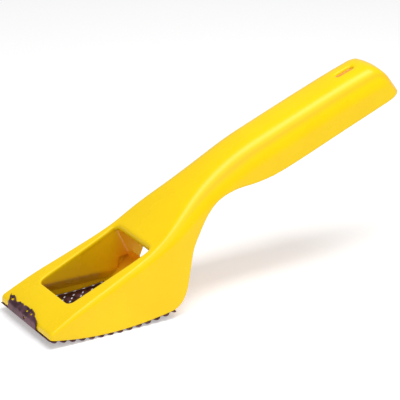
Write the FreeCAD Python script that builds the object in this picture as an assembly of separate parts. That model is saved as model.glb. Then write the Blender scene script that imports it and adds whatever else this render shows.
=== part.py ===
# A hand shaver for paint and wood: a one-piece moulded body (head, neck and channel
# handle) that carries a replaceable curved rasp blade, held by a hook at the nose
# and by one screw at the heel.
#
# Millimetres, +Z up. While it is drawn, X runs from the nose (x = 0) to the handle's
# end, Y is across, and z = 0 is the chord of the blade's seat. At the end the whole
# object is moved so that its origin is the bottom centre of its bounding box.

import FreeCAD
import Part
import math
import os

Vec = FreeCAD.Vector

# ---- driving dimensions: head and handle ----
head_half_nose = 20.6      # half width of the body at the nose
head_half_heel = 17.8      # half width at the head's shoulder, above the heel
nose_height = 2.7          # flat front of the nose
seat_chord = 59.0          # length of the blade's seat, from the nose to the heel
seat_sag = 3.1             # how far the seat bellies below its chord
handle_half = 12.0         # half width of the handle at its shoulder
handle_depth = 18.1        # handle, from its crown straight down to its rim
handle_angle = 21.7        # slope of the handle, degrees
handle_end_x = 176.6       # far end of the handle
wall = 2.3                 # wall of the handle and the neck
wall_heel = 1.7            # wall of the heel's two cheeks
nose_corner = 2.4          # round of the nose's two corners, in plan
nose_edge = 0.9            # how far out the nose's sides are where that round starts
end_roll = 21.0            # length of the handle's rounded end
end_drop = 17.4            # how far the crown comes down over it
end_taper = 6.5            # how much half width it loses
head_rise = 9.8            # height of the top plate at the window's front edge
heel_rise = 26.8           # height of the top plate at the window's rear edge
neck_run = 59.9            # from the window's rear edge to the straight handle
neck_rise = 37.45          # how far the crown climbs over that run

# ---- window (the chip opening in the top plate) ----
window_front_x = 13.1
window_from_heel = 8.9     # from the window's rear edge to the end of the seat
window_half_front = 12.0
window_half_rear = 13.2
window_draft = 0.12        # how fast the well widens as it goes down
join_run = 3.0             # from the window's rear edge to where the neck's hollow starts
crease_front = 7.4         # height of the crease above the undercut, at the window's front
crease_rear = 5.4
crease_from_heel = 4.5     # from the undercut's rear end to the end of the seat
undercut_land = 2.2        # seat left outside the undercut

# ---- blade ----
blade_thick = 0.8
blade_gap = 0.12           # between the blade and its seat
blade_inset = 0.1          # how far the blade's edges stay inside the nose's sides
hook_near = -9.4           # the hook's root, across the nose
hook_far = 13.5
hook_leaf = 3.2            # how far back the hook lies on the top plate
hook_near_slant = 4.6      # how far its back edge stops short at the near end
hook_far_slant = 3.1       # how far its back edge reaches past the root at the far end
tab_half = 7.0             # rear tab, half width
tab_lean = 2.6             # how far back the tab leans as it rises
tab_clear = 0.8            # between the tab's bend and the web
tab_z = 6.8                # underside of the level tab
slit_long = 2.6            # one cutting slit
slit_wide = 1.0
slit_pitch = 4.4
slit_angle = 45.0
edge_notch_r = 1.2         # scallops between the teeth of the long edges

# ---- screw, washer and nut ----
thread_r = 2.0             # M4
nut_across = 7.0
nut_height = 3.2
head_r = 3.6
head_height = 2.5
driver_wide = 1.0          # slot for the screwdriver
driver_deep = 1.2
screw_length = 12.0
washer_r = 4.0
washer_thick = 0.8
washer_space = 0.4         # between the washer and the tab's bend
hole_gap = 0.25            # round the screw in the body
washer_gap = 0.10          # round the screw in the washer
tab_slot_extra = 1.9       # the tab's hole is a slot, this much longer each way
thread_gap = 0.05          # screw to nut
pocket_gap = 0.15          # nut to its pocket

# ---- inside of the heel ----
web_thick = 2.0
web_foot_back = 9.4        # from the foot of the web's upper face to the end of the seat
web_top_back = 0.3         # from the top of that face to the end of the seat
web_top_z = 10.3
plate_thick = 2.6          # clamp plate that the tab is pulled against
plate_half = 8.4
plate_past = 0.5           # how far the clamp plate reaches past the tab
collar_wall = 2.1          # round the nut's pocket

# ---- handle ribs and hang slot ----
rib_count = 4
rib_first = 46.0           # from the window's rear edge to the first rib
rib_pitch = 17.0
rib_thick = 1.6
rib_deep = 5.0             # how far a rib hangs below the roof of the channel
slot_from_end = 24.0       # from the middle of the hang slot to the handle's end
slot_long = 9.0
slot_wide = 2.4

# Sizes and places that follow from the ones above.
blade_half = head_half_nose - blade_inset
window_rear_x = seat_chord - window_from_heel
web_foot_x = seat_chord - web_foot_back
web_top_x = seat_chord - web_top_back
straight_x = window_rear_x + neck_run
slot_x = handle_end_x - slot_from_end
web_lean = (web_top_x - web_foot_x) / web_top_z
web_back = web_thick * math.hypot(1.0, web_lean)
tab_flat_x = web_foot_x + (tab_z + blade_thick) * web_lean + web_back + tab_clear
tab_root_x = tab_flat_x - tab_lean
screw_x = tab_flat_x + washer_space + washer_r
tab_end_x = screw_x + washer_r

big = 60.0                 # longer than any cut needs
seat_floor = -9.0          # a height below every part of the seat
past = 6.0                 # how far a cutting shape reaches past what it cuts


def interpolate(table, x):
    """Smooth monotone curve through (x, value) pairs, by cubic Hermite spans."""
    xs = [p[0] for p in table]
    vs = [p[1] for p in table]
    if x <= xs[0]:
        return vs[0] + (x - xs[0]) * (vs[1] - vs[0]) / (xs[1] - xs[0])
    if x >= xs[-1]:
        return vs[-1] + (x - xs[-1]) * (vs[-1] - vs[-2]) / (xs[-1] - xs[-2])
    n = len(xs)
    slope = [(vs[i + 1] - vs[i]) / (xs[i + 1] - xs[i]) for i in range(n - 1)]
    m = [slope[0]] + [0.0] * (n - 2) + [slope[-1]]
    for i in range(1, n - 1):
        if slope[i - 1] * slope[i] > 0:
            m[i] = 2 * slope[i - 1] * slope[i] / (slope[i - 1] + slope[i])
    i = max(k for k in range(n - 1) if xs[k] <= x)
    h = xs[i + 1] - xs[i]
    t = (x - xs[i]) / h
    a = (1 + 2 * t) * (1 - t) ** 2
    b = t * (1 - t) ** 2
    c = t * t * (3 - 2 * t)
    d = t * t * (t - 1)
    return a * vs[i] + b * h * m[i] + c * vs[i + 1] + d * h * m[i + 1]


tan_handle = math.tan(math.radians(handle_angle))


def handle_line(x):
    """Height of the crown along the straight handle."""
    return heel_rise + neck_rise + (x - straight_x) * tan_handle


def after(start_x, base, offsets):
    return [(start_x + run, base + rise) for run, rise in offsets]


# Side view: height of the crown along the object. The neck is given from the window's
# rear edge, as (run, rise).
crown_table = [
    (0.0, nose_height),
    (window_front_x, head_rise),
    (30.0, head_rise - 0.2
     + (30.0 - window_front_x) * (heel_rise - head_rise) / (window_rear_x - window_front_x)),
    (window_rear_x, heel_rise),
]
neck_points = [(7.9, 5.6), (15.9, 11.9), (23.9, 17.9), (31.9, 23.2), (39.9, 28.0)]
crown_table += after(window_rear_x, heel_rise, neck_points)
crown_table += [(straight_x - 12.0, handle_line(straight_x - 12.0) - 0.5)]
crown_table += [(x, handle_line(x)) for x in (straight_x, straight_x + 20.0, slot_x, handle_end_x)]

# Plan view: half width at the shoulder.
shoulder_table = [
    (0.0, head_half_nose),
    (window_front_x, head_half_nose - 0.5),
    (30.0, head_half_nose - 1.5),
    (window_rear_x, head_half_heel),
]
shoulder_table += after(window_rear_x, head_half_heel, [(7.9, -0.5), (15.9, -2.2)])
shoulder_table += after(window_rear_x, handle_half, [(23.9, 1.5), (31.9, 0.5), (39.9, 0.1), (49.9, 0.0)])
shoulder_table += [(handle_end_x, handle_half)]

# How fast the side wall flares as it goes down.
flare_table = [(0.0, 0.03), (30.0, 0.075)]
flare_table += after(window_rear_x, 0.0, [(0.0, 0.093), (9.9, 0.10), (17.9, 0.12), (25.9, 0.11),
                                          (39.9, 0.06)])
flare_table += [(handle_end_x, 0.05)]

# Round of the shoulder, and how far the top is crowned.
round_table = [(0.0, 1.2), (window_front_x, 1.6), (30.0, 2.0)]
round_table += after(window_rear_x, 0.0, [(0.0, 2.6), (15.9, 5.0), (27.9, 6.5), (39.9, 7.0)])
round_table += [(handle_end_x, 7.0)]
camber_table = [(0.0, 0.05), (30.0, 0.3)]
camber_table += after(window_rear_x, 0.0, [(0.0, 0.5), (27.9, 1.0)])
camber_table += [(handle_end_x, 1.0)]

# Side view: the rim of the heel, neck and handle, as (run, rise) from the seat's end.
heel_points = [(0.0, 0.0), (3.0, 2.2), (5.8, 6.9), (7.7, 14.6), (9.6, 22.6), (13.4, 29.4), (18.9, 37.0),
               (24.5, 41.3), (33.8, 44.0), (42.0, 44.8), (50.0, 46.3)]
rim_table = after(seat_chord, 0.0, heel_points)
rim_table += [(x, handle_line(x) - handle_depth)
              for x in (straight_x + 8.0, straight_x + 30.0, handle_end_x + 10.0)]

seat_radius = (seat_chord ** 2 / 4 + seat_sag ** 2) / (2 * seat_sag)


def seat_z(x):
    mid = seat_chord / 2
    return seat_radius - seat_sag - math.sqrt(seat_radius ** 2 - (x - mid) ** 2)


def end_round(x):
    """0 on the straight handle, rising to 1 at the tip of its rounded end."""
    return max(0.0, (x - (handle_end_x - end_roll)) / end_roll)


def section(x, inset, low, side_inset=None):
    """Closed wire across the object at x: flared sides, round shoulders, crowned top."""
    u = end_round(x + (inset if x > slot_x else 0.0))
    turn = 1 - math.sqrt(max(0.0, 1 - u * u))
    crown = interpolate(crown_table, x) - inset - end_drop * turn
    side_inset = inset if side_inset is None else side_inset
    half = interpolate(shoulder_table, x) - side_inset - end_taper * turn
    flare = interpolate(flare_table, x)
    camber = interpolate(camber_table, x)
    radius = max(0.4, interpolate(round_table, x) - inset)
    shoulder_z = crown - camber
    side = math.atan(flare)
    # the corner angle between the side wall and the nearly level top
    slope = math.atan2(camber, half)
    reach = radius * math.tan((math.pi / 2 - side - slope) / 2)
    up = (math.sin(side), math.cos(side))
    start = Vec(x, half + reach * up[0], shoulder_z - reach * up[1])
    stop = Vec(x, half - reach * math.cos(slope), shoulder_z + reach * math.sin(slope))
    centre = Vec(x, start.y - radius * up[1], start.z - radius * up[0])
    mid_angle = (math.atan2(start.z - centre.z, start.y - centre.y)
                 + math.atan2(stop.z - centre.z, stop.y - centre.y)) / 2
    mid = Vec(x, centre.y + radius * math.cos(mid_angle), centre.z + radius * math.sin(mid_angle))
    foot = Vec(x, half + flare * (shoulder_z - low), low)
    top = Vec(x, 0, crown)

    def mirror(p):
        return Vec(p.x, -p.y, p.z)

    edges = [
        Part.makeLine(mirror(foot), foot),
        Part.makeLine(foot, start),
        Part.Arc(start, mid, stop).toShape(),
        Part.Arc(stop, top, mirror(stop)).toShape(),
        Part.Arc(mirror(stop), mirror(mid), mirror(start)).toShape(),
        Part.makeLine(mirror(start), mirror(foot)),
    ]
    return Part.Wire(edges)


def skin(stations, inset, lows, side_insets=None):
    side_insets = side_insets or [inset] * len(stations)
    wires = [section(x, inset, low, side) for x, low, side in zip(stations, lows, side_insets)]
    return Part.makeLoft(wires, True, False)


def prism_y(points, half):
    """Solid of a side-view outline, given as (x, z), reaching half to each side."""
    vectors = [Vec(x, -half, z) for x, z in points]
    face = Part.Face(Part.makePolygon(vectors + vectors[:1]))
    return face.extrude(Vec(0, 2 * half, 0))


def under(x, depth):
    """A height safely below the seat and the rim at x."""
    if x <= seat_chord:
        return seat_floor
    return max(seat_floor, interpolate(rim_table, min(x, handle_end_x)) - depth)


def neck_stations(first_run):
    """Places along X for the sections from the window's rear edge to the straight handle."""
    runs = [first_run, 4.0, 7.9, 11.9, 15.9, 19.9, 23.9, 27.9, 31.9, 35.9, 39.9, 47.9]
    if first_run > 0:
        runs.remove(4.0)
    near_end = handle_end_x - end_roll - 6.0
    return [window_rear_x + run for run in runs] + [straight_x, (straight_x + near_end) / 2, near_end]


def outer_body():
    ends = [handle_end_x - end_roll * (1 - f) for f in (0.0, 0.35, 0.62, 0.82, 0.94, 0.995)]
    head = [window_front_x * k / 4 for k in (0, 1, 2, 4)]
    head += [window_front_x + (window_rear_x - window_front_x) * f for f in (0.23, 0.46, 0.73)]
    stations = head + neck_stations(0.0) + ends
    lows = [under(x, 12.0) for x in stations]
    return skin(stations, 0.0, lows)


def under_rim():
    """Everything below the seat and the rim, in side view."""
    seat_points = [Vec(x, -big, seat_z(x)) for x in (0.0, seat_chord / 2, seat_chord)]
    seat_edge = Part.Arc(*seat_points).toShape()
    rim_points = [Vec(x, -big, interpolate(rim_table, x)) for x, _ in rim_table]
    curve = Part.BSplineCurve()
    curve.interpolate(rim_points)
    rim_edge = curve.toShape()
    first = seat_points[0]
    last = rim_points[-1]
    corners = [last, Vec(last.x, -big, -big), Vec(-5.0, -big, -big), Vec(-5.0, -big, 0.0), first]
    lines = [Part.makeLine(a, b) for a, b in zip(corners, corners[1:])]
    wire = Part.Wire([seat_edge, rim_edge] + lines)
    return Part.Face(wire).extrude(Vec(0, 2 * big, 0))


def window_half(x):
    share = (x - window_front_x) / (window_rear_x - window_front_x)
    return window_half_front + share * (window_half_rear - window_half_front)


def chip_well():
    """The well under the window. Its walls widen as they go down."""
    end_x = window_rear_x + join_run
    wires = []
    for x in (window_front_x, end_x):
        top = interpolate(crown_table, x)
        half = window_half(x)
        low = half + window_draft * (top + past)
        high = half - window_draft * past
        pts = [Vec(x, -low, -past), Vec(x, low, -past), Vec(x, high, top + past), Vec(x, -high, top + past)]
        wires.append(Part.makePolygon(pts + pts[:1]))
    well = Part.makeLoft(wires, True, True)
    # the roof stays, behind the window's rear edge
    rear_z = interpolate(crown_table, window_rear_x) - wall
    slope = (interpolate(crown_table, end_x) - wall - rear_z) / join_run
    roof = prism_y([(window_rear_x, rear_z), (end_x + past, rear_z + slope * (join_run + past)),
                    (end_x + past, big), (window_rear_x, big)], big)
    return well.cut(roof)


def relief():
    """Undercut along the foot of each well wall, out to the edge of the seat."""
    solids = []
    for sign in (-1, 1):
        wires = []
        for x, crease in ((window_front_x, crease_front), (seat_chord - crease_from_heel, crease_rear)):
            top = interpolate(crown_table, x)
            inner = window_half(x) + window_draft * (top - crease) - 0.3
            outer = blade_half - undercut_land
            pts = [(inner - 4.0, crease), (inner, crease), (outer, -0.2), (outer, -8.0), (inner - 4.0, -8.0)]
            vectors = [Vec(x, sign * y, z) for y, z in pts]
            wires.append(Part.makePolygon(vectors + vectors[:1]))
        solids.append(Part.makeLoft(wires, True, True))
    return solids


def neck_cavity():
    """Hollow of the heel, neck and handle, open below."""
    stations = neck_stations(join_run)
    ends = [handle_end_x - wall - end_roll * (1 - f) for f in (0.0, 0.35, 0.62, 0.82, 0.94, 0.98)]
    stations = stations + ends
    lows = [under(x, 13.0) for x in stations]
    full_x = window_rear_x + 32.0
    cheeks = [wall - (wall - wall_heel) * min(1.0, max(0.0, (full_x - x) / 16.0)) for x in stations]
    return skin(stations, wall, lows, cheeks)


def web():
    """Sloping plate that closes the well at the rear and turns the chips upward."""
    foot_x = web_foot_x - seat_sag * web_lean
    return prism_y([(foot_x, -seat_sag), (web_top_x, web_top_z), (web_top_x + web_back, web_top_z),
                    (foot_x + web_back, -seat_sag)], big)


def clamp_plate():
    """Level plate over the blade's tab, with the nut's pocket on it."""
    low = tab_z + blade_thick
    plate = Part.makeBox(tab_end_x + plate_past - web_top_x, 2 * plate_half, plate_thick,
                         Vec(web_top_x, -plate_half, low))
    collar = Part.makeCylinder(nut_across / 2 + collar_wall, 0.8 * nut_height,
                               Vec(screw_x, 0, low + plate_thick))
    return plate.fuse(collar)


def hexagon(across, height, centre):
    r = across / math.sqrt(3)
    pts = [centre + Vec(r * math.cos(a), r * math.sin(a), 0)
           for a in [math.radians(60 * k) for k in range(7)]]
    return Part.Face(Part.makePolygon(pts)).extrude(Vec(0, 0, height))


def nose_corners():
    """What rounding takes off the nose's two corners, in plan."""
    solids = []
    for sign in (-1, 1):
        centre_y = head_half_nose + nose_edge - nose_corner
        side = nose_corner + 3.0
        square = Part.makeBox(side, side, big, Vec(-3.0, centre_y, -big / 2))
        corner = square.cut(Part.makeCylinder(nose_corner, big, Vec(nose_corner, centre_y, -big / 2)))
        if sign < 0:
            corner = corner.mirror(Vec(0, 0, 0), Vec(0, 1, 0))
        solids.append(corner)
    return solids


def make_body():
    blank = outer_body().cut(under_rim())
    body = blank.cut([chip_well(), neck_cavity()] + relief())
    body = body.fuse([web().common(blank), clamp_plate()])
    for k in range(rib_count):
        x = window_rear_x + rib_first + k * rib_pitch
        roof = interpolate(crown_table, x) - wall
        rib = Part.makeBox(rib_thick, 2 * big, big, Vec(x, -big, roof - rib_deep))
        body = body.fuse(rib.common(skin([x - 5.0, x, x + 6.0], wall - 0.3, [x * 0.3] * 3)))
    nut_z = tab_z + blade_thick + plate_thick
    pocket = hexagon(nut_across + 2 * pocket_gap, big / 6, Vec(screw_x, 0, nut_z))
    bore = Part.makeCylinder(thread_r + hole_gap, 12.0, Vec(screw_x, 0, tab_z - 2))
    return body.cut([pocket, bore, hang_slot()] + nose_corners()).removeSplitter()


def hang_slot():
    slot = slotted_hole(slot_long / 2 - slot_wide / 2, slot_wide / 2, 20.0)
    slot.rotate(Vec(0, 0, 0), Vec(0, 1, 0), -handle_angle)
    slot.translate(Vec(slot_x, 0, handle_line(slot_x)))
    return slot


def slotted_hole(half, radius, height):
    """Solid of a slot that runs along X, centred on the origin."""
    base = Part.makeBox(2 * half, 2 * radius, height, Vec(-half, -radius, -height / 2))
    front = Part.makeCylinder(radius, height, Vec(-half, 0, -height / 2))
    back = Part.makeCylinder(radius, height, Vec(half, 0, -height / 2))
    return base.fuse([front, back])


def sheet_under_seat():
    """The blade's working face: a curved sheet that follows the seat."""
    mid = seat_chord / 2
    centre_z = seat_radius - seat_sag
    inner = seat_radius + blade_gap
    outer = inner + blade_thick

    def arc(radius, first, last):
        points = [Vec(x, -blade_half, centre_z - math.sqrt(radius ** 2 - (x - mid) ** 2))
                  for x in (first, (first + last) / 2, last)]
        return Part.Arc(*points).toShape(), points[0], points[2]

    upper, a, b = arc(inner, -blade_thick, seat_chord)
    lower, c, d = arc(outer, -blade_thick, seat_chord)
    wire = Part.Wire([upper, Part.makeLine(b, d), lower, Part.makeLine(c, a)])
    return Part.Face(wire).extrude(Vec(0, 2 * blade_half, 0))


def hook():
    """Folded up the nose and back on to the top plate. Its ends are slanted."""
    gap = blade_gap
    foot_z = seat_z(0.0) - gap - blade_thick
    steps = [hook_leaf * k / 4 for k in range(5)]
    under = [(x, interpolate(crown_table, x) + gap) for x in steps]
    over = [(x - 0.4 * blade_thick, z + blade_thick) for x, z in under]
    outline = [(-gap, foot_z + blade_thick), (-gap, nose_height + gap)] + under[1:]
    outline += list(reversed(over[1:])) + [(-gap - blade_thick, nose_height + gap + 0.5 * blade_thick)]
    outline += [(-gap - blade_thick, foot_z), (-gap, foot_z)]
    strip = prism_y(outline, blade_half)
    top = nose_height + 8.0
    near = [(-2.0, hook_near), (0.0, hook_near), (hook_leaf + 1, hook_near + hook_near_slant),
            (hook_leaf + 1, -big), (-2.0, -big)]
    far = [(-2.0, hook_far), (0.0, hook_far), (hook_leaf + 1, hook_far + hook_far_slant),
           (hook_leaf + 1, big), (-2.0, big)]
    for plan in (near, far):
        points = [Vec(x, y, -3.0) for x, y in plan]
        face = Part.Face(Part.makePolygon(points + points[:1]))
        strip = strip.cut(face.extrude(Vec(0, 0, top)))
    return strip


def tab():
    """Rear tab: it rises behind the web and lies level under the clamp plate."""
    low = seat_z(tab_root_x) - blade_gap - blade_thick
    lean = blade_thick * 0.45
    outline = [(tab_root_x - 1.0, low), (tab_root_x + lean, low), (tab_flat_x + lean, tab_z),
               (tab_end_x, tab_z), (tab_end_x, tab_z + blade_thick), (tab_flat_x - lean, tab_z + blade_thick),
               (tab_root_x - lean, low + blade_thick), (tab_root_x - 1.0, low + blade_thick)]
    strip = prism_y(outline, tab_half)
    hole = slotted_hole(tab_slot_extra, thread_r + hole_gap, 4.0)
    hole.translate(Vec(screw_x, 0, tab_z))
    return strip.cut(hole)


def cutting_slits():
    """Slanted slits in staggered rows over the working face."""
    solids = []
    rows = int((seat_chord - 8.0) / slit_pitch)
    columns = int(2 * (blade_half - 2.6) / slit_pitch)
    for i in range(rows):
        for j in range(columns):
            x = 4.5 + slit_pitch * i
            y = (j - (columns - 1) / 2) * slit_pitch + (i % 2 - 0.5) * slit_pitch / 2
            if x > tab_root_x - 4.0 and abs(y) < tab_half + 2.5:
                continue
            slit = Part.makeBox(slit_long, slit_wide, 12.0, Vec(-slit_long / 2, -slit_wide / 2, -10.0))
            slit.rotate(Vec(0, 0, 0), Vec(0, 0, 1), slit_angle)
            slit.translate(Vec(x, y, 0))
            solids.append(slit)
    return solids


def edge_notches():
    solids = []
    count = int((seat_chord - 3.0) / slit_pitch)
    for i in range(count):
        for sign in (-1, 1):
            centre = Vec(4.0 + slit_pitch * i, sign * (blade_half + 0.45 * edge_notch_r), -10.0)
            solids.append(Part.makeCylinder(edge_notch_r, 12.0, centre))
    return solids


def make_blade():
    relief_x = tab_root_x - 0.6
    notches = [Part.makeBox(10.0, 1.4, 10.0, Vec(relief_x, sign * (tab_half + 0.7) - 0.7, -6.0))
               for sign in (-1, 1)]
    middle = Part.makeBox(10.0, 2 * tab_half, 10.0, Vec(tab_root_x, -tab_half, -6.0))
    sheet = sheet_under_seat().cut(cutting_slits() + edge_notches() + notches + [middle])
    front = Part.makeBox(blade_thick + blade_gap, 2 * big, 10.0, Vec(-blade_thick, -big, -8.0))
    keep_hook = Part.makeBox(4.0, hook_far - hook_near, 10.0, Vec(-3.0, hook_near, -8.0))
    sheet = sheet.cut(front.cut(keep_hook))
    return sheet.fuse([hook(), tab()]).cut(nose_corners()).removeSplitter()


def make_screw():
    top = tab_z - washer_thick
    shank = Part.makeCylinder(thread_r, screw_length, Vec(screw_x, 0, top))
    head = Part.makeCylinder(head_r, head_height, Vec(screw_x, 0, top - head_height))
    slot = Part.makeBox(2 * head_r + 2, driver_wide, driver_deep,
                        Vec(screw_x - head_r - 1, -driver_wide / 2, top - head_height))
    return shank.fuse(head).cut(slot)


def make_washer():
    base = Vec(screw_x, 0, tab_z - washer_thick)
    disc = Part.makeCylinder(washer_r, washer_thick, base)
    return disc.cut(Part.makeCylinder(thread_r + washer_gap, washer_thick, base))


def make_nut():
    base = Vec(screw_x, 0, tab_z + blade_thick + plate_thick)
    bore = Part.makeCylinder(thread_r + thread_gap, nut_height, base)
    return hexagon(nut_across, nut_height, base).cut(bore)


pieces = {
    "body": make_body(),
    "blade": make_blade(),
    "screw": make_screw(),
    "washer": make_washer(),
    "nut": make_nut(),
}

bounds = FreeCAD.BoundBox()
for shape in pieces.values():
    bounds.add(shape.optimalBoundingBox())
shift = Vec(-bounds.Center.x, -bounds.Center.y, -bounds.ZMin)

os.makedirs("parts", exist_ok=True)
for name, shape in pieces.items():
    shape.translate(shift)
    shape.exportStep("parts/" + name + ".step")
    print(name, shape.isValid(), len(shape.Solids), "solids", round(shape.Volume), "mm3")
print("shift", round(shift.x, 4), round(shift.y, 4), round(shift.z, 4))
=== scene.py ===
import math
import bmesh
import bpy
import numpy as np
from mathutils import Matrix, Vector


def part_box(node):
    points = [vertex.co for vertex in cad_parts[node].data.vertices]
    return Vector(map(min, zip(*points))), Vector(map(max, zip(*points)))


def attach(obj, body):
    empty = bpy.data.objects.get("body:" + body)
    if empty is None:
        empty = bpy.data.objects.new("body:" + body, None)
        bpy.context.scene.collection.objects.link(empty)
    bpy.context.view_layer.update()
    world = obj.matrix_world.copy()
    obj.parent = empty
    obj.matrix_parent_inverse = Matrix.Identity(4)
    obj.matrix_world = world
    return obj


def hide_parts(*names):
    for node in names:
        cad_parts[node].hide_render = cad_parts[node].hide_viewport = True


# A hand shaver for paint and wood: a yellow moulded body, a curved rasp blade that hooks
# over the nose, and the screw, washer and nut that clamp the blade at the heel.

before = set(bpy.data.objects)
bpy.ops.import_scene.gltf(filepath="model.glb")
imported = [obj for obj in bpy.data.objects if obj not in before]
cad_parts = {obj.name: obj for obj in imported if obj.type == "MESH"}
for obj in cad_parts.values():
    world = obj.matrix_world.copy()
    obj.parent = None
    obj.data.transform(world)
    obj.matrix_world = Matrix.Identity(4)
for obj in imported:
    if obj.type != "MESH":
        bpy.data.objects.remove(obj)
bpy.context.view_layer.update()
print("frame loaded:", len(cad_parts), "nodes")

# Shapes are worked out in millimetres in the drawing's own axes: x from the nose's front,
# y across, z up from the line that joins the two ends of the blade's seat.
mm = 0.001
seatSag = 3.1
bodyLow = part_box("body")[0]
noseX = bodyLow[0] / mm
chordZ = bodyLow[2] / mm + seatSag


def toFrame(points):
    # drawing millimetres to metres in the shared frame
    return (points + np.array([noseX, 0.0, chordZ])) * mm


# Shapes are signed distances, negative inside, and these join them.

def roundMax(a, b, radius):
    # intersection with an outside edge rounded by the radius
    corner = np.hypot(np.maximum(radius + a, 0), np.maximum(radius + b, 0))
    return np.minimum(-radius, np.maximum(a, b)) + corner


def roundMin(a, b, radius):
    # union with a fillet of that radius
    return -roundMax(-a, -b, radius)


def hermite(table, x):
    # cubic Hermite spans whose slopes are harmonic means, so the curve never overshoots
    xs, values = np.array(table, float).T
    step = np.diff(xs)
    slope = np.diff(values) / step
    m = np.concatenate([slope[:1], np.zeros(len(slope) - 1), slope[-1:]])
    before, after = slope[:-1], slope[1:]
    same = before * after > 0
    m[1:-1][same] = 2 * before[same] * after[same] / (before + after)[same]
    i = np.clip(np.searchsorted(xs, x, side="right") - 1, 0, len(step) - 1)
    t = np.clip((x - xs[i]) / step[i], 0, 1)
    inner = ((1 + 2 * t) * (1 - t) ** 2 * values[i] + t * (1 - t) ** 2 * step[i] * m[i]
             + t * t * (3 - 2 * t) * values[i + 1] + t * t * (t - 1) * step[i] * m[i + 1])
    past = np.where(x < xs[0], (x - xs[0]) * m[0], 0) + np.where(x > xs[-1], (x - xs[-1]) * m[-1], 0)
    return inner + past


def blurred(values, spread, step):
    # Gaussian blur along the first axis, with the ends carried on in straight lines
    n = int(3 * spread / step) + 1
    weights = np.exp(-0.5 * (np.arange(-n, n + 1) * step / spread) ** 2)
    weights /= weights.sum()
    run = np.arange(1, n + 1)
    front = values[0] - run[::-1] * (values[1] - values[0])
    back = values[-1] + run * (values[-1] - values[-2])
    return np.convolve(np.concatenate([front, values, back]), weights, "valid")


def smoothLine(table, spread):
    # the table as a function of x, blurred so that reflections run along it without breaks
    step = 0.25
    xs = np.arange(-14.0, 194.0, step)
    values = blurred(hermite(table, xs), spread, step)
    return lambda x: np.interp(x, xs, values)


def netSurface(distance, xs, ys, zs, top=None, steps=4):
    # Surface net: each grid cell that the shape's skin crosses gets one point, the mean of
    # the crossings on its edges, and each crossed grid edge gets a face of its four cells.
    # The points are then drawn on to the skin along its gradient. With top given, the grid
    # is sheared so that its third axis is depth below that line.
    def place(x, y, w):
        return (x, y, w) if top is None else (x, y, top(x) - w)

    grid = distance(*place(xs[:, None, None], ys[None, :, None], zs[None, None, :]))
    grid = np.broadcast_to(grid, (len(xs), len(ys), len(zs)))
    inside = grid < 0
    shape = np.array(grid.shape) - 1
    count = np.zeros(shape.prod())
    total = np.zeros((3, shape.prod()))
    quads = []
    for axis in range(3):
        low = tuple(slice(0, -1) if a == axis else slice(None) for a in range(3))
        high = tuple(slice(1, None) if a == axis else slice(None) for a in range(3))
        index = np.array(np.nonzero(inside[low] != inside[high]))
        a, b = grid[low][tuple(index)], grid[high][tuple(index)]
        point = index.astype(float)
        point[axis] += a / (a - b)
        u, v = (axis + 1) % 3, (axis + 2) % 3
        ring = []
        for du, dv in ((-1, -1), (0, -1), (0, 0), (-1, 0)):
            cell = index.copy()
            cell[u] += du
            cell[v] += dv
            number = np.ravel_multi_index(tuple(cell), tuple(shape))
            count += np.bincount(number, minlength=len(count))
            for k in range(3):
                total[k] += np.bincount(number, weights=point[k], minlength=len(count))
            ring.append(number)
        face = np.array(ring).T
        turned = ~inside[low][tuple(index)]
        if top is not None:
            turned = ~turned
        face[turned] = face[turned][:, ::-1]
        quads.append(face)
    used = np.nonzero(count)[0]
    renumber = np.zeros(len(count), int)
    renumber[used] = np.arange(len(used))
    mean = total[:, used] / count[used]
    axes = [np.interp(mean[k], np.arange(len(line)), line) for k, line in enumerate((xs, ys, zs))]
    points = np.array(place(*axes))
    for step in range(steps):
        value = distance(*points)
        slope = gradient(distance, points)
        move = value / np.maximum((slope ** 2).sum(0), 0.2)
        points = points - np.clip(move, -0.25, 0.25) * slope
    return points.T, renumber[np.concatenate(quads)]


def gradient(distance, points, reach=0.02):
    # central differences of the distance along each axis
    slope = np.empty_like(points)
    for k in range(3):
        offset = np.zeros((3, 1))
        offset[k] = reach
        slope[k] = (distance(*(points + offset)) - distance(*(points - offset))) / (2 * reach)
    return slope


def edgeAmount(distance, points, reach=0.35):
    # how sharply the skin bends outward: the Laplacian of the distance
    total = -6 * distance(*points)
    for k in range(3):
        offset = np.zeros((3, 1))
        offset[k] = reach
        total = total + distance(*(points + offset)) + distance(*(points - offset))
    return np.clip(total / reach ** 2, -2, 2)


def storeFloats(mesh, name, values):
    mesh.attributes.new(name, "FLOAT", "POINT").data.foreach_set("value", values.astype(np.float32))


def makePiece(name, points, faces, node, body, edge):
    # a smooth mesh that moves with its body and stands in for the drawing's node
    mesh = bpy.data.meshes.new(name)
    mesh.from_pydata(toFrame(points).tolist(), [], faces.tolist())
    mesh.polygons.foreach_set("use_smooth", np.ones(len(mesh.polygons), bool))
    storeFloats(mesh, "edge", edge)
    mesh.update()
    piece = bpy.data.objects.new(name, mesh)
    bpy.context.scene.collection.objects.link(piece)
    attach(piece, body)
    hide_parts(node)
    print("made", name, len(points), "points", len(faces), "faces")
    return piece


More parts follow.
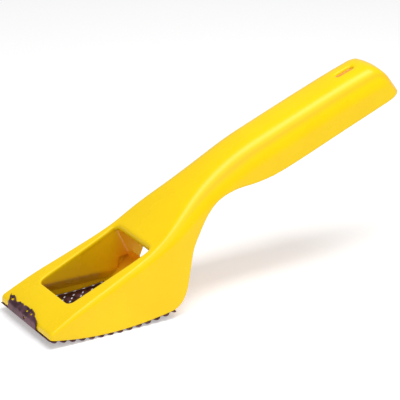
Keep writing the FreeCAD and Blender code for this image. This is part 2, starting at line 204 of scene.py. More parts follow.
shell = {
    "end": 178.2, "endLean": 39.0, "endLow": 73.0, "endBulge": 1.5, "endRound": 8.0, "endCorner": 5.0,
    "noseCorner": 1.6, "wall": 2.3, "cheek": 1.7, "rimRound": 0.45, "windowRound": 1.1,
    "windowFront": 13.1, "windowRear": 50.1, "windowHalfFront": 12.0, "windowHalfRear": 13.2,
    "windowCorner": 2.4, "draft": 0.12, "seatLength": 59.0, "roofFrom": 20.0, "neckFrom": 3.0,
    "rearSlope": 1.75, "edgeRound": 0.5, "fitRound": 0.2, "skinInset": 0.6, "webRound": 0.6,
    "handleAngle": 21.7, "handleDepth": 18.1, "crownAtSlot": 81.2, "slotX": 152.6,
    "slotHalf": 3.3, "slotRadius": 1.1, "slotDish": 1.5,
    "webFoot": 49.6, "webTop": 58.7, "webTopZ": 10.3, "webThick": 2.0,
    "plateFront": 58.7, "plateRear": 68.68, "plateHalf": 8.4, "plateLow": 7.6, "plateHigh": 10.2,
    "screwX": 64.18, "collarRadius": 5.6, "collarHigh": 12.76, "pocketHalf": 3.65, "boreRadius": 2.25,
    "ribFirst": 96.0, "ribPitch": 17.0, "ribCount": 4, "ribThick": 1.6, "ribDeep": 5.0,
    "reliefOuter": 19.3, "creaseFront": 7.4, "creaseRear": 5.4, "creaseInset": 0.3, "reliefLow": -0.2,
    # the share of painted shade that the chip well's inner walls get is given here too, the hollow
    # behind getting all of it
    "reliefRear": 54.5, "pocketTop": 18.0, "wellShadeShare": 0.25,
    "cell": 0.5, "handleCell": 1.0, "endCell": 0.7,
}
handleSlope = math.tan(math.radians(shell["handleAngle"]))


def handleLine(x):
    return shell["crownAtSlot"] + (x - shell["slotX"]) * handleSlope


crownAt = smoothLine(
    [(0, 2.7), (13.1, 9.8), (30, 17.37), (50.1, 27.1), (58, 33.1), (66, 39.6), (74, 45.8), (82, 51.2),
     (90, 56.0), (98, handleLine(99.8)), (110, handleLine(112.2)), (130, handleLine(132.2)),
     (152.6, handleLine(153.8)), (176.6, handleLine(173.6))], 3.0)
halfAt = smoothLine(
    [(0, 20.6), (13.1, 20.1), (30, 19.1), (50.1, 17.8), (58, 17.3), (66, 15.6), (74, 13.5), (82, 12.5),
     (90, 12.1), (100, 12.0), (176.6, 12.0)], 3.0)
flareAt = smoothLine([(0, 0.03), (30, 0.075), (50.1, 0.093), (60, 0.10), (68, 0.12), (76, 0.11),
                      (90, 0.06), (176.6, 0.05)], 4.0)
shoulderAt = smoothLine([(0, 1.0), (13.1, 2.0), (30, 2.6), (50.1, 3.2), (66, 6.0), (78, 7.5), (90, 8.2),
                         (176.6, 8.0)], 4.0)
camberAt = smoothLine([(0, 0.05), (30, 0.3), (50.1, 0.5), (66, 0.8), (78, 1.4), (90, 1.9), (100, 2.0),
                       (176.6, 2.0)], 4.0)
seatRadius = (shell["seatLength"] ** 2 / 4 + seatSag ** 2) / (2 * seatSag)


def seatAt(x):
    mid = shell["seatLength"] / 2
    return seatRadius - seatSag - np.sqrt(seatRadius ** 2 - (x - mid) ** 2)


def rimField():
    # Side view: the seat's arc, then the rim of the heel, neck and handle, as one line.
    # Gives the signed distance to it on a lattice: positive below the line.
    heel = [(59, 0), (62, 2.2), (64.8, 6.9), (66.7, 14.6), (68.6, 22.6), (72.4, 29.4), (77.9, 37.0),
            (83.5, 41.3), (92.8, 44.0), (101, 44.8), (109, 46.3)]
    heel += [(x, handleLine(x) - shell["handleDepth"]) for x in (118, 140, 186.6)]
    heel = np.array(heel)
    along = np.concatenate([[0], np.cumsum(np.hypot(*np.diff(heel, axis=0).T))])
    t = np.arange(0, along[-1], 0.4)
    heelLine = np.array([hermite(list(zip(along, heel[:, k])), t) for k in range(2)])
    seatX = np.arange(-6.0, shell["seatLength"], 0.4)
    line = np.concatenate([np.array([seatX, seatAt(seatX)]), heelLine[:, 1:]], axis=1)
    line = np.array([blurred(part, 0.9, 0.4) for part in line])
    gx, gz = np.arange(-5.0, 183.0, 0.5), np.arange(-12.0, 100.0, 0.5)
    start, run = line[:, :-1], np.diff(line, axis=1)
    length = (run ** 2).sum(0)
    field = np.empty((len(gx), len(gz)))
    for i, x in enumerate(gx):
        toX, toZ = x - start[0][None], gz[:, None] - start[1][None]
        share = np.clip((toX * run[0] + toZ * run[1]) / length, 0, 1)
        offX, offZ = toX - share * run[0], toZ - share * run[1]
        gap = offX ** 2 + offZ ** 2
        near = gap.argmin(1)
        rows = np.arange(len(gz))
        side = run[0][near] * offZ[rows, near] - run[1][near] * offX[rows, near]
        field[i] = np.sqrt(gap[rows, near]) * np.where(side > 0, -1, 1)
    return gx, gz, field


rimX, rimZ, rimValues = rimField()


def rimGap(x, z):
    # the lattice above, read between its points
    x, z = np.broadcast_arrays(x, z)
    i = np.clip((x - rimX[0]) / 0.5, 0, len(rimX) - 1.001)
    k = np.clip((z - rimZ[0]) / 0.5, 0, len(rimZ) - 1.001)
    i0, k0 = i.astype(int), k.astype(int)
    fi, fk0 = i - i0, k - k0
    low = rimValues[i0, k0] * (1 - fi) + rimValues[i0 + 1, k0] * fi
    high = rimValues[i0, k0 + 1] * (1 - fi) + rimValues[i0 + 1, k0 + 1] * fi
    return low * (1 - fk0) + high * fk0


def bodySkin(x, y, z):
    # top face, flared sides and nose front, meeting in round shoulders
    s = shell
    crown, half, flare, camber = crownAt(x), halfAt(x), flareAt(x), camberAt(x)
    slope = crownAt(x + 0.5) - crownAt(x - 0.5)
    narrowing = halfAt(x + 0.5) - halfAt(x - 0.5)
    top = (z - crown + camber * (y / half) ** 2) / np.hypot(1, slope)
    side = (np.abs(y) - half - flare * (crown - camber - z)) / np.sqrt(1 + flare ** 2 + narrowing ** 2)
    lean = math.radians(s["endLean"])
    endFace = ((x - s["end"]) * math.cos(lean) + (z - s["endLow"]) * math.sin(lean)
               + s["endBulge"] * (y / half) ** 2)
    top = roundMax(top, endFace, s["endRound"])
    side = roundMax(side, endFace - 1.0, s["endCorner"])
    side = roundMax(side, -x, s["noseCorner"])
    return top, side, crown


def bodyDistance(x, y, z):
    # the blank, less the chip well, the hollow and the undercuts, plus ribs, web and clamp
    # plate, less the nut's pocket, the bore and the hang slot, all cut off along the rim
    s = shell
    top, side, crown = bodySkin(x, y, z)
    shoulder = shoulderAt(x)
    blank = roundMax(top, side, shoulder)
    # chip well: drafted walls from the window down, open below
    share = (x - s["windowFront"]) / (s["windowRear"] - s["windowFront"])
    wellHalf = s["windowHalfFront"] + share * (s["windowHalfRear"] - s["windowHalfFront"])
    wellSide = (np.abs(y) - wellHalf - s["draft"] * (crown - z)) / math.hypot(1, s["draft"])
    front = s["windowFront"] - x
    window = roundMax(wellSide, front, s["windowCorner"])
    window = roundMax(window, x - s["windowRear"], s["windowCorner"])
    shape = roundMax(blank, -window, s["windowRound"])
    # under the roof the well opens into the hollow of the heel, neck and handle
    slanted = ((x - s["webTop"]) * s["rearSlope"] + z - s["webTopZ"]) / math.hypot(s["rearSlope"], 1)
    underRoof = np.maximum(np.maximum(wellSide, front + s["roofFrom"]),
                           np.maximum(slanted - s["edgeRound"], top + s["wall"]))
    shape = roundMax(shape, -underRoof, s["edgeRound"])
    cheek = s["cheek"] + (s["wall"] - s["cheek"]) * np.clip((x - 66.0) / 16.0, 0, 1)
    hollow = roundMax(top + s["wall"], side + cheek, np.maximum(0.6, shoulder - s["wall"]))
    joined = np.minimum(-slanted, np.maximum(s["windowRear"] + s["neckFrom"] - x,
                                             z - s["webTopZ"] + s["edgeRound"]))
    shape = roundMax(shape, -np.maximum(hollow, joined), s["edgeRound"])
    # undercut: a sloping face from a crease on each well wall down to the blade
    share = (x - s["windowFront"]) / (s["reliefRear"] - s["windowFront"])
    crease = s["creaseFront"] + share * (s["creaseRear"] - s["creaseFront"])
    creaseHalf = wellHalf + s["draft"] * (crown - crease) - s["creaseInset"]
    rise, run = crease - s["reliefLow"], s["reliefOuter"] - creaseHalf
    undercut = ((np.abs(y) - creaseHalf) * rise + (z - crease) * run) / np.hypot(rise, run)
    undercut = np.maximum(np.maximum(undercut, z - crease), np.abs(y) - s["reliefOuter"])
    undercut = np.maximum(undercut, np.maximum(front, x - s["reliefRear"]))
    shape = roundMax(shape, -undercut, 0.35)
    # ribs that hang from the channel's roof
    for k in range(s["ribCount"]):
        middle = s["ribFirst"] + k * s["ribPitch"] + s["ribThick"] / 2
        rib = np.maximum(np.abs(x - middle) - s["ribThick"] / 2, -(top + s["wall"] + s["ribDeep"]))
        shape = roundMin(shape, np.maximum(rib, blank + s["skinInset"]), s["edgeRound"])
    # web that closes the well, clamp plate over the blade's tab, and the nut's collar
    lean = math.hypot(s["webTop"] - s["webFoot"], s["webTopZ"])
    behind = ((x - s["webFoot"]) * s["webTopZ"] - z * (s["webTop"] - s["webFoot"])) / lean
    web = roundMax(np.maximum(-behind, behind - s["webThick"]), z - s["webTopZ"], s["edgeRound"])
    shape = roundMin(shape, np.maximum(web, blank + s["skinInset"]), s["webRound"])
    plate = roundMax(np.abs(y) - s["plateHalf"], x - s["plateRear"], 1.5)
    plate = np.maximum(plate, s["plateFront"] - x)
    plate = roundMax(plate, np.maximum(z - s["plateHigh"], s["plateLow"] - z), 0.3)
    radius = np.hypot(x - s["screwX"], y)
    collar = np.maximum(z - s["collarHigh"], s["plateLow"] - z)
    collar = roundMax(radius - s["collarRadius"], collar, 0.3)
    shape = roundMin(shape, roundMin(plate, collar, s["webRound"]), s["webRound"])
    hexGap = hexDistance(x - s["screwX"], y) - s["pocketHalf"]
    pocket = np.maximum(hexGap, np.maximum(s["plateHigh"] - z, z - s["pocketTop"]))
    bore = np.maximum(s["plateLow"] - 2 - z, z - s["pocketTop"])
    bore = np.maximum(radius - s["boreRadius"], bore)
    shape = roundMax(roundMax(shape, -pocket, s["fitRound"]), -bore, s["fitRound"])
    # hang slot, with softly dished edges
    slotLength = math.hypot(1, handleSlope)
    along = ((x - s["slotX"]) + (z - s["crownAtSlot"]) * handleSlope) / slotLength
    slot = np.hypot(np.maximum(np.abs(along) - s["slotHalf"], 0), y) - s["slotRadius"]
    shape = roundMax(shape, -slot, s["slotDish"])
    return roundMax(shape, rimGap(x, z), s["rimRound"])


def hexDistance(x, y):
    # how far out a point lies across the flats of a hexagon with corners along x
    return np.maximum(np.abs(y), np.abs(x) * math.cos(math.pi / 6) + np.abs(y) * 0.5)


def buildBody():
    # fine cells in the head and at the handle's end, longer ones along the handle
    cell = shell["cell"]
    xs = np.concatenate([np.arange(-1.6, 72, cell), np.arange(72, 150, shell["handleCell"]),
                         np.arange(150, 178.8, shell["endCell"])])
    ys = np.arange(-23.25, 23.3, cell)
    ws = np.arange(-1.7, 37.0, cell)
    points, faces = netSurface(bodyDistance, xs, ys, ws, top=crownAt)
    edge = edgeAmount(bodyDistance, points.T)
    piece = makePiece("mouldedBody", points, faces, "body", "tool", edge)
    # painted shade: a mask, nought outside, a set share on the chip well's inner walls and full on the
    # inner faces behind the well, that darkens them to a deeper orange
    top, side = bodySkin(*points.T)[:2]
    inward = np.clip((-np.maximum(top, side) - 1.2) / 1.6, 0, 1)
    behind = np.clip((points[:, 0] - shell["windowRear"]) / 6.0, 0, 1)
    hollow = inward * (shell["wellShadeShare"] + (1 - shell["wellShadeShare"]) * behind)
    storeFloats(piece.data, "hollow", hollow)
    return piece


rasp = {
    "pitch": 4.4, "rows": 18, "half": 20.6, "columns": 13, "sheet": 0.45, "lip": 0.34, "gap": 0.12,
    "holeHalf": 0.85, "holeRadius": 0.42, "slant": 45.0, "fold": 0.4, "toothFall": 0.36,
    "hookEnds": (-9.4, 13.5), "hookColumns": 6, "hookUp": 3.7, "hookLeaf": 3.2, "nearSlant": 4.2,
    "farReach": 3.1, "frontHoles": (0, 0, 1, 0, 0, 0), "topHoles": (0, 1, 1, 0, 0, 1),
    "hookBack": [(0, 1.0), (0.12, 2.4), (0.3, 3.1), (0.6, 2.7), (0.8, 2.2), (0.9, 2.9), (1, 3.2)],
    "ragged": ((0.30, 2.9, 0.0), (0.22, 5.3, 1.0), (0.35, 1.43, -math.pi / 2)), "hookWave": 0.18,
    "hookHoleHalf": 0.25, "hookHoleRadius": 0.62, "hookSlant": 70.0, "hookWear": 0.25,
    "scallop": 1.2, "scallopWide": 1.0, "tabRoot": 57.2, "tabFlat": 59.78, "tabEnd": 68.18, "tabZ": 6.8,
    "tabSlotHalf": 1.9, "tabHole": 2.25, "tabLap": 3.0, "tabCorner": 2.2, "tabBend": 0.5,
}


def pathOf(corners, spread):
    # a side-view line of (x, z) corners, walked in small steps and blurred to round its folds
    corners = np.array(corners, float)
    along = np.concatenate([[0], np.cumsum(np.hypot(*np.diff(corners, axis=0).T))])
    t = np.arange(0, along[-1] + 0.05, 0.1)
    line = np.array([blurred(np.interp(t, along, corners[:, k]), spread, 0.1) for k in range(2)])
    run = np.gradient(line, axis=1)
    run /= np.hypot(*run)
    return t, line, np.array([run[1], -run[0]])


def onPath(path, s, n):
    # point at length s along the path, n outside it
    t, line, out = path
    return [np.interp(s, t, line[k]) + n * np.interp(s, t, out[k]) for k in range(2)]


def ringTiles(start, size, holeHalf, holeRadius, slant, lip):
    # Each tile is a rectangle with a slanted slot in its middle. Points run round its border
    # and round the slot at the same angles, with one ring between, pulled to a raised lip on
    # one side of the slot.
    a = np.arange(8) / 8
    b = np.arange(4) / 4
    border = np.concatenate([np.array([a, 0 * a]), np.array([1 + 0 * b, b]),
                             np.array([1 - a, 1 + 0 * a]), np.array([0 * b, 1 - b])], axis=1)
    off = (border - 0.5) * np.array(size)[:, None]
    angle = np.arctan2(off[1], off[0]) - math.radians(slant)
    c, s = np.abs(np.cos(angle)), np.abs(np.sin(angle))
    flat = holeRadius / np.maximum(s, 1e-6)
    cap = holeHalf * c + np.sqrt(np.maximum(holeRadius ** 2 - (holeHalf * s) ** 2, 0))
    reach = np.where(flat * c <= holeHalf, flat, cap)
    hole = np.array([np.cos(angle + math.radians(slant)), np.sin(angle + math.radians(slant))]) * reach
    raised = np.maximum(0, np.sin(angle))
    rings = np.array([hole, hole + (off - hole) * 0.34, off])
    lift = np.array([raised * lip, raised * lip * 0.45, raised * 0])
    middle = np.array(start)[:, :, None, None] + np.array(size)[None, :, None, None] / 2
    flatPoints = middle + rings.transpose(1, 0, 2)[None]
    n = len(middle)
    along, across = flatPoints[:, 0], flatPoints[:, 1]
    number = np.arange(n * 3 * 24).reshape(n, 3, 24)
    inner, outer = number[:, :-1], number[:, 1:]
    faces = np.stack([inner, outer, np.roll(outer, -1, 2), np.roll(inner, -1, 2)], -1).reshape(-1, 4)
    return along.ravel(), across.ravel(), np.broadcast_to(lift, (n, 3, 24)).ravel(), faces


def plainPatch(start, size, cellsAlong, cellsAcross):
    # a flat rectangle of the sheet, with no slot, on an even grid
    u, v = np.meshgrid(np.arange(cellsAlong + 1) / cellsAlong, np.arange(cellsAcross + 1) / cellsAcross,
                       indexing="ij")
    number = np.arange(u.size).reshape(u.shape)
    faces = np.stack([number[:-1, :-1], number[1:, :-1], number[1:, 1:], number[:-1, 1:]], -1)
    along, across = start[0] + u.ravel() * size[0], start[1] + v.ravel() * size[1]
    return along, across, 0 * along, faces.reshape(-1, 4)


def buildBlade():
    # flat tiles laid along the side-view path: rows of slots, then the hook and the tab
    r = rasp
    out = r["gap"] + r["sheet"] / 2
    mid = shell["seatLength"] / 2
    xs = np.arange(0, 60.3, 0.4)
    arc = np.array([xs, seatRadius - seatSag - np.sqrt((seatRadius + out) ** 2 - (xs - mid) ** 2)]).T
    nose = 2.7 + out
    hookX = np.arange(6.0, 0.5, -0.5)
    hook = [(x, float(crownAt(x)) + out) for x in hookX]
    corners = hook + [(-out, nose), (-out, arc[0, 1])] + [tuple(p) for p in arc[1:]]
    path = pathOf(corners, r["fold"])
    lead = np.hypot(*np.diff(np.array(corners[:len(hook) + 2]), axis=0).T).sum()
    rowWide = 2 * r["half"] / r["rows"]
    tiles, patches = [], []
    for j in range(r["rows"]):
        y = -r["half"] + j * rowWide
        odd = j % 2
        inTab = abs(y + rowWide / 2) < 7.0
        starts = [k * r["pitch"] + odd * r["pitch"] / 2 for k in range(r["columns"])]
        if j in (0, r["rows"] - 1):
            patches += [((k * r["pitch"] / 2, y), (r["pitch"] / 2, rowWide), 4, 4)
                        for k in range(2 * r["columns"] + 1)]
            continue
        if odd:
            patches.append(((0.0, y), (r["pitch"] / 2, rowWide), 4, 4))
        for s in starts:
            closed = s > r["tabRoot"] - 3.2 * r["pitch"] / 2 and inTab
            if inTab and odd and s + r["pitch"] > r["tabRoot"] + 1:
                patches.append(((s, y), (r["pitch"] / 2, rowWide), 4, 4))
            elif closed:
                patches.append(((s, y), (r["pitch"], rowWide), 8, 4))
            else:
                tiles.append((s, y))
        if not odd and not inTab:
            patches.append(((starts[-1] + r["pitch"], y), (r["pitch"] / 2, rowWide), 4, 4))
    size = (r["pitch"], rowWide)
    parts = [ringTiles(tiles, size, r["holeHalf"], r["holeRadius"], r["slant"], r["lip"])]
    parts += [plainPatch(*patch) for patch in patches]
    points, faces, edges = [], [], []
    count = 0
    for along, across, lift, quads in parts:
        rim = np.clip((np.abs(across) - r["half"] + r["scallopWide"]) / r["scallopWide"], 0, 1)
        wave = 0.5 + 0.5 * np.cos(2 * math.pi * along / r["pitch"])
        across = across - np.sign(across) * r["scallop"] * rim * wave ** 2
        fall = lift + r["toothFall"] * rim * (1 - wave)
        x, z = onPath(path, along + lead, fall)
        points.append(np.array([x, across, z]).T)
        edges.append(lift / r["lip"])
        faces.append(quads + count)
        count += len(along)
    # hook: the sheet's front carried up the nose and on to the top plate, cut off raggedly
    # across the holes, with its near end slanted back and its far end drawn to a point
    nearEnd, farEnd = r["hookEnds"]
    columns = r["hookColumns"]
    wide = (farEnd - nearEnd) / columns
    upper, lower = r["hookUp"], r["hookLeaf"]
    for k in range(columns):
        for start, deep, holed in ((-upper, upper, r["frontHoles"][k]),
                                   (-upper - lower, lower, r["topHoles"][k])):
            corner = (start, nearEnd + k * wide)
            if holed:
                part = ringTiles([corner], (deep, wide), r["hookHoleHalf"], r["hookHoleRadius"],
                                 r["hookSlant"], 0)
            else:
                part = plainPatch(corner, (deep, wide), 8, 4)
            along, across, lift, quads = part
            back = np.clip((-upper - along) / lower, 0, 1)
            share = (across - nearEnd) / (farEnd - nearEnd)
            ragged = sum(size * np.sin(across * rate + phase) for size, rate, phase in r["ragged"])
            cut = hermite(r["hookBack"], share) + ragged
            along = along + back ** 2 * (lower - cut)
            across = across + back * (r["nearSlant"] * (1 - share) ** 3 + r["farReach"] * share ** 3)
            atEnd = np.abs(share - 0.5) > 0.49
            across = across + r["hookWave"] * np.sin(along * 3.1) * atEnd
            x, z = onPath(path, along + lead, 0 * lift)
            points.append(np.array([x, across, z]).T)
            edges.append(r["hookWear"] + 0 * lift)
            faces.append(quads + count)
            count += len(along)
    # tab: it leans up behind the web, then lies level with a slotted hole for the screw
    low = float(seatAt(r["tabRoot"])) - out
    level = r["tabZ"] + 0.4
    lap = r["tabLap"]
    lapX = r["tabRoot"] - lap
    tabPath = pathOf([(lapX, float(seatAt(lapX)) - out), (r["tabRoot"], low),
                      (r["tabFlat"], level), (r["tabEnd"] + lap, level)], r["tabBend"])
    rise = lap + math.hypot(r["tabFlat"] - r["tabRoot"], level - low)
    tabHalf = 3 * rowWide
    flatLength = r["tabEnd"] - r["tabFlat"]
    flat = ringTiles([(rise, -tabHalf)], (flatLength, 2 * tabHalf), r["tabSlotHalf"], r["tabHole"],
                     0, 0)
    leaning = plainPatch((lap - 0.4, -tabHalf), (rise - lap + 0.4, 2 * tabHalf), 12, 4)
    corner = r["tabCorner"]
    for along, across, lift, quads in (flat, leaning):
        near = np.clip((along - rise - flatLength + corner) / corner, 0, 1)
        limit = tabHalf - corner * (1 - np.sqrt(1 - near ** 2))
        across = np.sign(across) * np.minimum(np.abs(across), limit)
        x, z = onPath(tabPath, along, 0)
        points.append(np.array([x, across, z]).T)
        edges.append(0 * lift)
        faces.append(quads + count)
        count += len(along)
    piece = makePiece("raspBlade", np.concatenate(points), np.concatenate(faces), "blade", "blade",
                      np.concatenate(edges))
    sheet = bmesh.new()
    sheet.from_mesh(piece.data)
    bmesh.ops.remove_doubles(sheet, verts=sheet.verts, dist=0.03 * mm)
    sheet.to_mesh(piece.data)
    sheet.free()
    thick = piece.modifiers.new("sheetThickness", "SOLIDIFY")
    thick.thickness = r["sheet"] * mm
    thick.offset = 0.0
    return piece


washer = {"radius": 4.0, "thick": 0.8, "bore": 2.1, "round": 0.18, "boreRound": 0.12, "cell": 0.13}


def washerDistance(x, y, z):
    # a flat ring under the blade's tab
    radius = np.hypot(x - shell["screwX"], y)
    low = rasp["tabZ"] - washer["thick"]
    ring = roundMax(radius - washer["radius"], np.maximum(z - rasp["tabZ"], low - z), washer["round"])
    return roundMax(ring, washer["bore"] - radius, washer["boreRound"])


screw = {
    "radius": 2.0, "pitch": 0.7, "threadDeep": 0.32, "length": 12.0, "headRadius": 3.6, "headHigh": 2.5,
    "dome": 7.5, "slotWide": 1.0, "slotDeep": 1.2, "tipChamfer": 0.35, "headRound": 0.6, "cell": 0.14,
}


def threadRadius(x, y, z):
    # a helix: the radius rises and falls with height less the turned angle
    phase = z / screw["pitch"] - np.arctan2(y, x) / (2 * math.pi)
    return screw["radius"] - screw["threadDeep"] * np.abs(2 * (phase - np.floor(phase)) - 1)


def screwDistance(x, y, z):
    # a threaded shank with a chamfered tip, and below it a domed head with a slot
    top = rasp["tabZ"] - washer["thick"]
    x = x - shell["screwX"]
    radius = np.hypot(x, y)
    tip = z - top - screw["length"] + screw["tipChamfer"] + np.maximum(0, radius - 1.3)
    thread = 0.85 * (radius - threadRadius(x, y, z))  # the thread's slope makes this overstate
    shank = np.maximum(thread, np.maximum(tip, top - 0.5 - z))
    low = top - screw["headHigh"]
    dome = np.sqrt(radius ** 2 + (np.minimum(z - low - screw["dome"], 0)) ** 2) - screw["dome"]
    head = roundMax(radius - screw["headRadius"], dome, screw["headRound"])
    head = roundMax(head, z - top, 0.15)
    cut = np.maximum(np.abs(y) - screw["slotWide"] / 2, z - low - screw["slotDeep"])
    return np.minimum(shank, roundMax(head, -cut, 0.12))


nut = {"across": 7.0, "high": 3.2, "low": 10.2, "boreGap": 0.05, "boreChamfer": 0.4, "cell": 0.15}


def nutDistance(x, y, z):
    # a hexagon with chamfered corners and a bore that opens out at both faces
    x = x - shell["screwX"]
    radius = np.hypot(x, y)
    beyond = np.maximum(z - nut["low"] - nut["high"], nut["low"] - z)
    chamfer = 0.5 * (radius - nut["across"] / 2) + 0.87 * beyond
    sides = roundMax(hexDistance(x, y) - nut["across"] / 2, chamfer, 0.1)
    mouth = screw["radius"] + nut["boreGap"] + np.maximum(0, beyond + nut["boreChamfer"]) - radius
    return roundMax(roundMax(sides, beyond, 0.1), mouth, 0.08)


def buildFasteners():
    top = rasp["tabZ"] - washer["thick"]
    made = []
    for name, distance, part, node, body, half, low, high in (
            ("clampScrew", screwDistance, screw, "screw", "screw", 3.9, top - 2.9, top + 12.4),
            ("clampWasher", washerDistance, washer, "washer", "washer", 4.3, top - 0.3, top + 1.1),
            ("captiveNut", nutDistance, nut, "nut", "tool", 4.4, nut["low"] - 0.3, nut["low"] + 3.5)):
        cell = part["cell"]
        xs = np.arange(shell["screwX"] - half, shell["screwX"] + half, cell)
        ys = np.arange(-half, half, cell)
        zs = np.arange(low, high, cell)
        points, faces = netSurface(distance, xs, ys, zs)
        edge = edgeAmount(distance, points.T, 0.12)
        made.append(makePiece(name, points, faces, node, body, edge))
    return made


def groupOf(name, inputs, outputs):
    # a shader node group with the named sockets, and its input and output nodes
    group = bpy.data.node_groups.new(name, "ShaderNodeTree")
    for label, kind, value in inputs:
        socket = group.interface.new_socket(label, in_out="INPUT", socket_type=kind)
        if value is not None:
            socket.default_value = value
    for label, kind in outputs:
        group.interface.new_socket(label, in_out="OUTPUT", socket_type=kind)
    return group, group.nodes.new("NodeGroupInput"), group.nodes.new("NodeGroupOutput")


def noiseNode(nodes, links, vector, scale, detail, roughness=0.5):
    # noise over the vector, at a fixed scale or one read from a socket
    noise = nodes.new("ShaderNodeTexNoise")
    noise.inputs["Detail"].default_value = detail
    noise.inputs["Roughness"].default_value = roughness
    links.new(vector, noise.inputs["Vector"])
    if isinstance(scale, (int, float)):
        noise.inputs["Scale"].default_value = scale
    else:
        links.new(scale, noise.inputs["Scale"])
    return noise


def rampNode(nodes, links, value, stops):
    # colours at places along the value, mixed evenly between them
    ramp = nodes.new("ShaderNodeValToRGB")
    while len(ramp.color_ramp.elements) < len(stops):
        ramp.color_ramp.elements.new(0.5)
    for element, (place, color) in zip(ramp.color_ramp.elements, stops):
        element.position = place
        element.color = (*color, 1.0)
    links.new(value, ramp.inputs["Fac"])
    return ramp


def grainGroup():
    # fine surface grain as a normal, and a slow patchiness as a mask
    group, given, result = groupOf(
        "surfaceGrain",
        [("Vector", "NodeSocketVector", None), ("Grain Scale", "NodeSocketFloat", 900.0),
         ("Grain Depth", "NodeSocketFloat", 0.02), ("Patch Scale", "NodeSocketFloat", 40.0)],
        [("Normal", "NodeSocketVector"), ("Patch", "NodeSocketFloat")])
    nodes, links = group.nodes, group.links
    grain = noiseNode(nodes, links, given.outputs["Vector"], given.outputs["Grain Scale"], 3.0)
    patch = noiseNode(nodes, links, given.outputs["Vector"], given.outputs["Patch Scale"], 4.0, 0.6)
    bump = nodes.new("ShaderNodeBump")
    bump.inputs["Distance"].default_value = 0.001
    links.new(grain.outputs["Fac"], bump.inputs["Height"])
    links.new(given.outputs["Grain Depth"], bump.inputs["Strength"])
    links.new(bump.outputs["Normal"], result.inputs["Normal"])
    links.new(patch.outputs["Fac"], result.inputs["Patch"])
    return group


def wearGroup():
    # rubbed edges: the edge attribute, broken up by noise
    group, given, result = groupOf(
        "edgeWear",
        [("Vector", "NodeSocketVector", None), ("Edge", "NodeSocketFloat", 0.0),
         ("From", "NodeSocketFloat", 0.5), ("To", "NodeSocketFloat", 1.2),
         ("Amount", "NodeSocketFloat", 1.0)],
        [("Wear", "NodeSocketFloat")])
    nodes, links = group.nodes, group.links
    noise = noiseNode(nodes, links, given.outputs["Vector"], 350.0, 4.0, 0.65)
    broken = nodes.new("ShaderNodeMath")
    broken.operation = "MULTIPLY"
    links.new(given.outputs["Edge"], broken.inputs[0])
    links.new(noise.outputs["Fac"], broken.inputs[1])
    spread = nodes.new("ShaderNodeMapRange")
    links.new(broken.outputs["Value"], spread.inputs["Value"])
    links.new(given.outputs["From"], spread.inputs["From Min"])
    links.new(given.outputs["To"], spread.inputs["From Max"])
    scaled = nodes.new("ShaderNodeMath")
    scaled.operation = "MULTIPLY"
    links.new(spread.outputs["Result"], scaled.inputs[0])
    links.new(given.outputs["Amount"], scaled.inputs[1])
    links.new(scaled.outputs["Value"], result.inputs["Wear"])
    return group


surfaceGrain = grainGroup()
edgeWear = wearGroup()


def finishOf(name, f):
    # one finish: base colour between two tones, rubbed edges in a third, grain and gloss, and where
    # given painted shade in a deeper orange on the inner faces
    material = bpy.data.materials.new(name)
    material.use_nodes = True
    nodes, links = material.node_tree.nodes, material.node_tree.links
    shader = nodes["Principled BSDF"]
    place = nodes.new("ShaderNodeTexCoord")
    grain = nodes.new("ShaderNodeGroup")
    grain.node_tree = surfaceGrain
    links.new(place.outputs["Object"], grain.inputs["Vector"])
    grain.inputs["Grain Scale"].default_value = f["grainScale"]
    grain.inputs["Grain Depth"].default_value = f["grainDepth"]
    grain.inputs["Patch Scale"].default_value = f["patchScale"]
    edge = nodes.new("ShaderNodeAttribute")
    edge.attribute_name = "edge"
    wear = nodes.new("ShaderNodeGroup")
    wear.node_tree = edgeWear
    links.new(place.outputs["Object"], wear.inputs["Vector"])
    links.new(edge.outputs["Fac"], wear.inputs["Edge"])
    wear.inputs["From"].default_value = f["wearFrom"]
    wear.inputs["To"].default_value = f["wearTo"]
    wear.inputs["Amount"].default_value = f["wearAmount"]
    tone = rampNode(nodes, links, grain.outputs["Patch"], [(0.35, f["dark"]), (0.65, f["light"])])
    mix = nodes.new("ShaderNodeMix")
    mix.data_type = "RGBA"
    links.new(wear.outputs["Wear"], mix.inputs["Factor"])
    links.new(tone.outputs["Color"], mix.inputs["A"])
    mix.inputs["B"].default_value = (*f["worn"], 1.0)
    links.new(mix.outputs["Result"], shader.inputs["Base Color"])
    rough = nodes.new("ShaderNodeMapRange")
    rough.inputs["From Min"].default_value = 0.3
    rough.inputs["From Max"].default_value = 0.7
    rough.inputs["To Min"].default_value = f["roughLow"]
    rough.inputs["To Max"].default_value = f["roughHigh"]
    links.new(grain.outputs["Patch"], rough.inputs["Value"])
    links.new(rough.outputs["Result"], shader.inputs["Roughness"])
    links.new(grain.outputs["Normal"], shader.inputs["Normal"])
    shader.inputs["Metallic"].default_value = f["metallic"]
    shader.inputs["Specular IOR Level"].default_value = f.get("specular", 0.5)
    if "tint" in f:
        shader.inputs["Specular Tint"].default_value = (*f["tint"], 1.0)
    if "deep" in f:  # painted shade: inner faces of the well and the hollow darkened towards a deeper orange
        hollow = nodes.new("ShaderNodeAttribute")
        hollow.attribute_name = "hollow"
        deep = nodes.new("ShaderNodeMix")
        deep.data_type = "RGBA"
        links.new(hollow.outputs["Fac"], deep.inputs["Factor"])
        links.new(mix.outputs["Result"], deep.inputs["A"])
        deep.inputs["B"].default_value = (*f["deep"], 1.0)
        links.new(deep.outputs["Result"], shader.inputs["Base Color"])
    return material


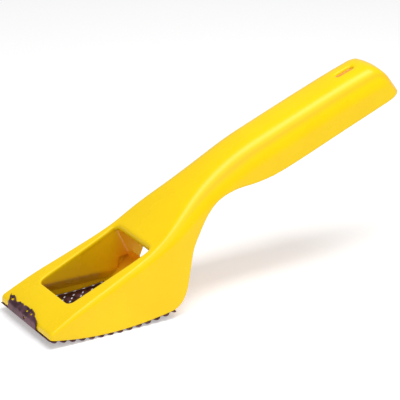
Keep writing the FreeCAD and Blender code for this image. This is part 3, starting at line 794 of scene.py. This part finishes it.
yellowPlastic = {
    "dark": (0.93, 0.62, 0.0), "light": (0.96, 0.66, 0.0), "worn": (1.0, 0.74, 0.03),
    # painted shade: the darker orange given to the inner faces of the well and the hollow
    "deep": (1.0, 0.50, 0.015),
    "grainScale": 1400.0, "grainDepth": 0.012, "patchScale": 35.0, "wearFrom": 0.35, "wearTo": 1.2,
    "wearAmount": 0.25, "roughLow": 0.24, "roughHigh": 0.30, "metallic": 0.0, "specular": 0.42,
    "tint": (1.0, 0.66, 0.55),
}
darkSteel = {
    "dark": (0.07, 0.03, 0.04), "light": (0.21, 0.10, 0.13), "worn": (0.36, 0.30, 0.32),
    "grainScale": 2200.0, "grainDepth": 0.10, "patchScale": 300.0, "wearFrom": 0.25, "wearTo": 0.7,
    "wearAmount": 0.8, "roughLow": 0.34, "roughHigh": 0.58, "metallic": 0.85,
}
zincSteel = {
    "dark": (0.50, 0.50, 0.52), "light": (0.66, 0.66, 0.67), "worn": (0.80, 0.80, 0.79),
    "grainScale": 3000.0, "grainDepth": 0.04, "patchScale": 420.0, "wearFrom": 0.3, "wearTo": 1.0,
    "wearAmount": 0.6, "roughLow": 0.22, "roughHigh": 0.42, "metallic": 1.0,
}


studio = {
    "azimuth": -34.52, "elevation": 23.31, "roll": 2.76, "distance": 846.66,
    "target": (81.94, 0.0, 36.21), "lens": 184.14, "floorHalf": 3.0,
    "floorTone": (0.78, 0.78, 0.78), "worldTone": (1.0, 1.0, 1.0), "worldStrength": 0.40,
    "floorGlow": 0.36,
    "lamps": (("overheadSoftbox", (0.0, -0.11, 0.62), (0.62, 0.17), 2.7),
              ("frontSoftbox", (-0.25, -0.75, 0.85), (0.9, 0.9), 2.7)),
}


def buildCamera():
    # looks at the target from the given side and height, rolled about its own axis
    a, e, roll = (math.radians(studio[k]) for k in ("azimuth", "elevation", "roll"))
    back = Vector((math.sin(a) * math.cos(e), -math.cos(a) * math.cos(e), math.sin(e)))
    right = Vector((math.cos(a), math.sin(a), 0.0))
    up = back.cross(right)
    right, up = (right * math.cos(roll) + up * math.sin(roll),
                 up * math.cos(roll) - right * math.sin(roll))
    target = Vector(toFrame(np.array(studio["target"])).tolist())
    place = target + back * studio["distance"] * mm
    data = bpy.data.cameras.new("viewCamera")
    data.lens = studio["lens"]
    data.sensor_width = 36.0
    data.clip_start = 0.01
    camera = bpy.data.objects.new("viewCamera", data)
    turn = Matrix((right, up, back)).transposed().to_4x4()
    camera.matrix_world = Matrix.Translation(place) @ turn
    bpy.context.scene.collection.objects.link(camera)
    bpy.context.scene.camera = camera


def buildStage():
    # a pale floor that glows faintly, an even white room, and two soft lamps
    h = studio["floorHalf"]
    mesh = bpy.data.meshes.new("studioFloor")
    mesh.from_pydata([(-h, -h, 0), (h, -h, 0), (h, h, 0), (-h, h, 0)], [], [(0, 1, 2, 3)])
    floor = bpy.data.objects.new("studioFloor", mesh)
    bpy.context.scene.collection.objects.link(floor)
    pale = bpy.data.materials.new("paleFloor")
    pale.use_nodes = True
    shader = pale.node_tree.nodes["Principled BSDF"]
    shader.inputs["Base Color"].default_value = (*studio["floorTone"], 1.0)
    shader.inputs["Roughness"].default_value = 0.9
    shader.inputs["Specular IOR Level"].default_value = 0.1
    shader.inputs["Emission Color"].default_value = (*studio["worldTone"], 1.0)
    shader.inputs["Emission Strength"].default_value = studio["floorGlow"]
    mesh.materials.append(pale)
    world = bpy.data.worlds.new("softRoom")
    world.use_nodes = True
    background = world.node_tree.nodes["Background"]
    background.inputs["Color"].default_value = (*studio["worldTone"], 1.0)
    background.inputs["Strength"].default_value = studio["worldStrength"]
    bpy.context.scene.world = world
    bpy.context.scene.view_settings.view_transform = "Standard"
    for name, place, size, power in studio["lamps"]:
        light = bpy.data.lights.new(name, "AREA")
        light.shape = "RECTANGLE"
        light.size, light.size_y = size
        light.energy = power
        lamp = bpy.data.objects.new(name, light)
        lamp.location = place
        lamp.rotation_euler = (-Vector(place)).to_track_quat("-Z", "Y").to_euler()
        bpy.context.scene.collection.objects.link(lamp)


buildCamera()
buildStage()
print("camera, floor and light ready")

pieces = {"body": buildBody(), "blade": buildBlade()}
fasteners = buildFasteners()
pieces["body"].data.materials.append(finishOf("yellowPlastic", yellowPlastic))
pieces["blade"].data.materials.append(finishOf("darkSteel", darkSteel))
zinc = finishOf("zincSteel", zincSteel)
for piece in fasteners:
    piece.data.materials.append(zinc)
print("finishes ready")
